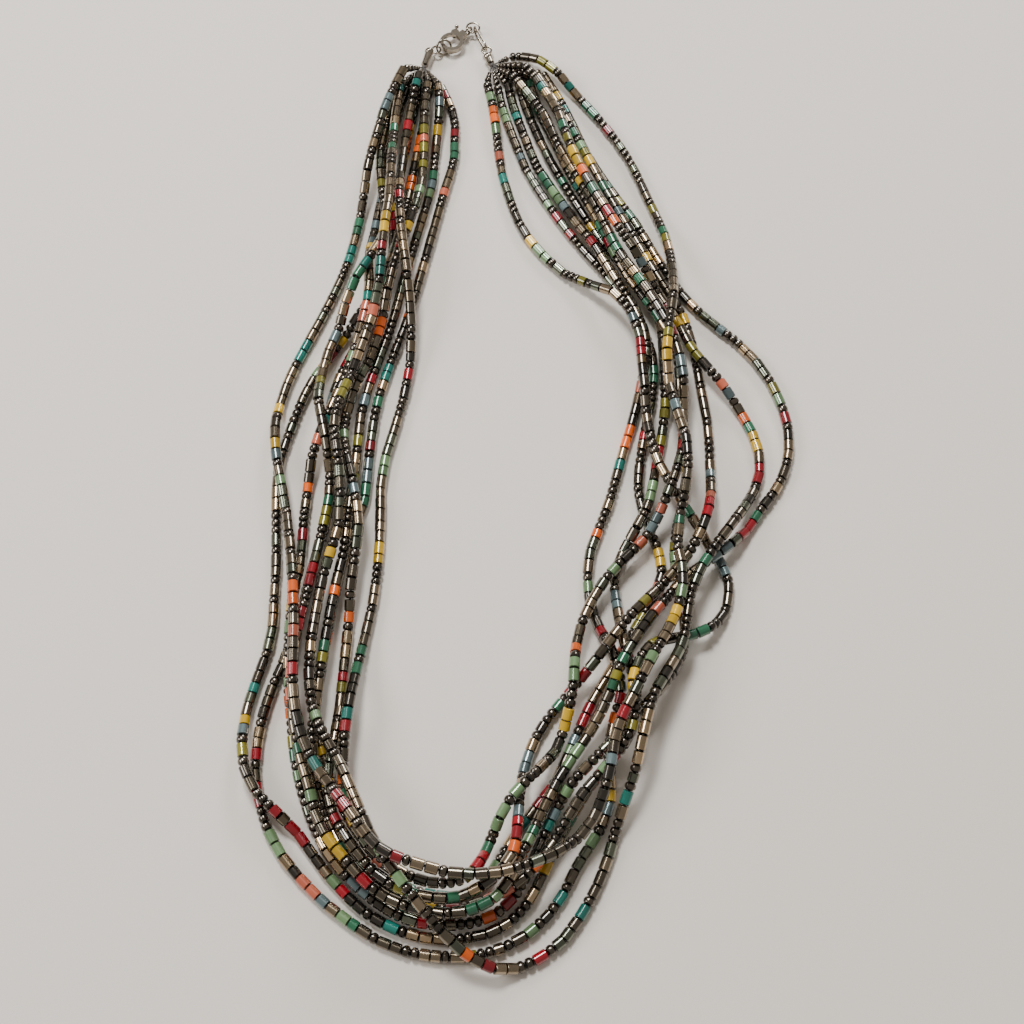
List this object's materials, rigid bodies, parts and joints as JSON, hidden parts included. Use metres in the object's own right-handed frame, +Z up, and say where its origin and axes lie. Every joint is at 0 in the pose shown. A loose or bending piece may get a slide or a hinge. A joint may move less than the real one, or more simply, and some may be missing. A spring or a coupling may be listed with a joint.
{
  "type": "multi strand necklace",
  "caption": "Necklace of many seed bead strands twisted loosely together, with metal end pieces, rings and a lobster clasp, lying flat.",
  "frame": {"origin": "middle of the necklace's bounding box, on the surface it lies on", "axes": "+Y from the bottom of the loop towards the clasp, +X to the wearer's left as laid out, +Z up from the surface"},
  "size_m": [0.114, 0.226, 0.0131],
  "materials": {
    "beads": "glossy grey-brown seed beads with a metallic lustre and some coloured ones",
    "metal": "polished, slightly worn silver-coloured metal",
    "thread": "waxed beading thread"
  },
  "bodies": {
    "necklace": {"strand_1": "beads", "strand_2": "beads", "strand_3": "beads", "strand_4": "beads", "strand_5": "beads", "strand_6": "beads", "strand_7": "beads", "strand_8": "beads", "strand_9": "beads", "strand_10": "beads", "left_end": "metal", "right_end": "metal", "left_threads": "thread", "right_threads": "thread", "left_ring": "metal", "right_ring": "metal", "link": "metal", "claw": "metal"},
    "lever": {"lever": "metal"}
  },
  "joints": [
    {"name": "lever_hinge", "type": "hinge", "parent": "necklace", "child": "lever", "pos_m": [-0.01704, 0.10935, 0.0018], "axis": [0, 0, 1], "range_deg": [0, 15], "stiffness_Nm_per_rad": 0.0005, "springref_deg": -11.46}
  ]
}
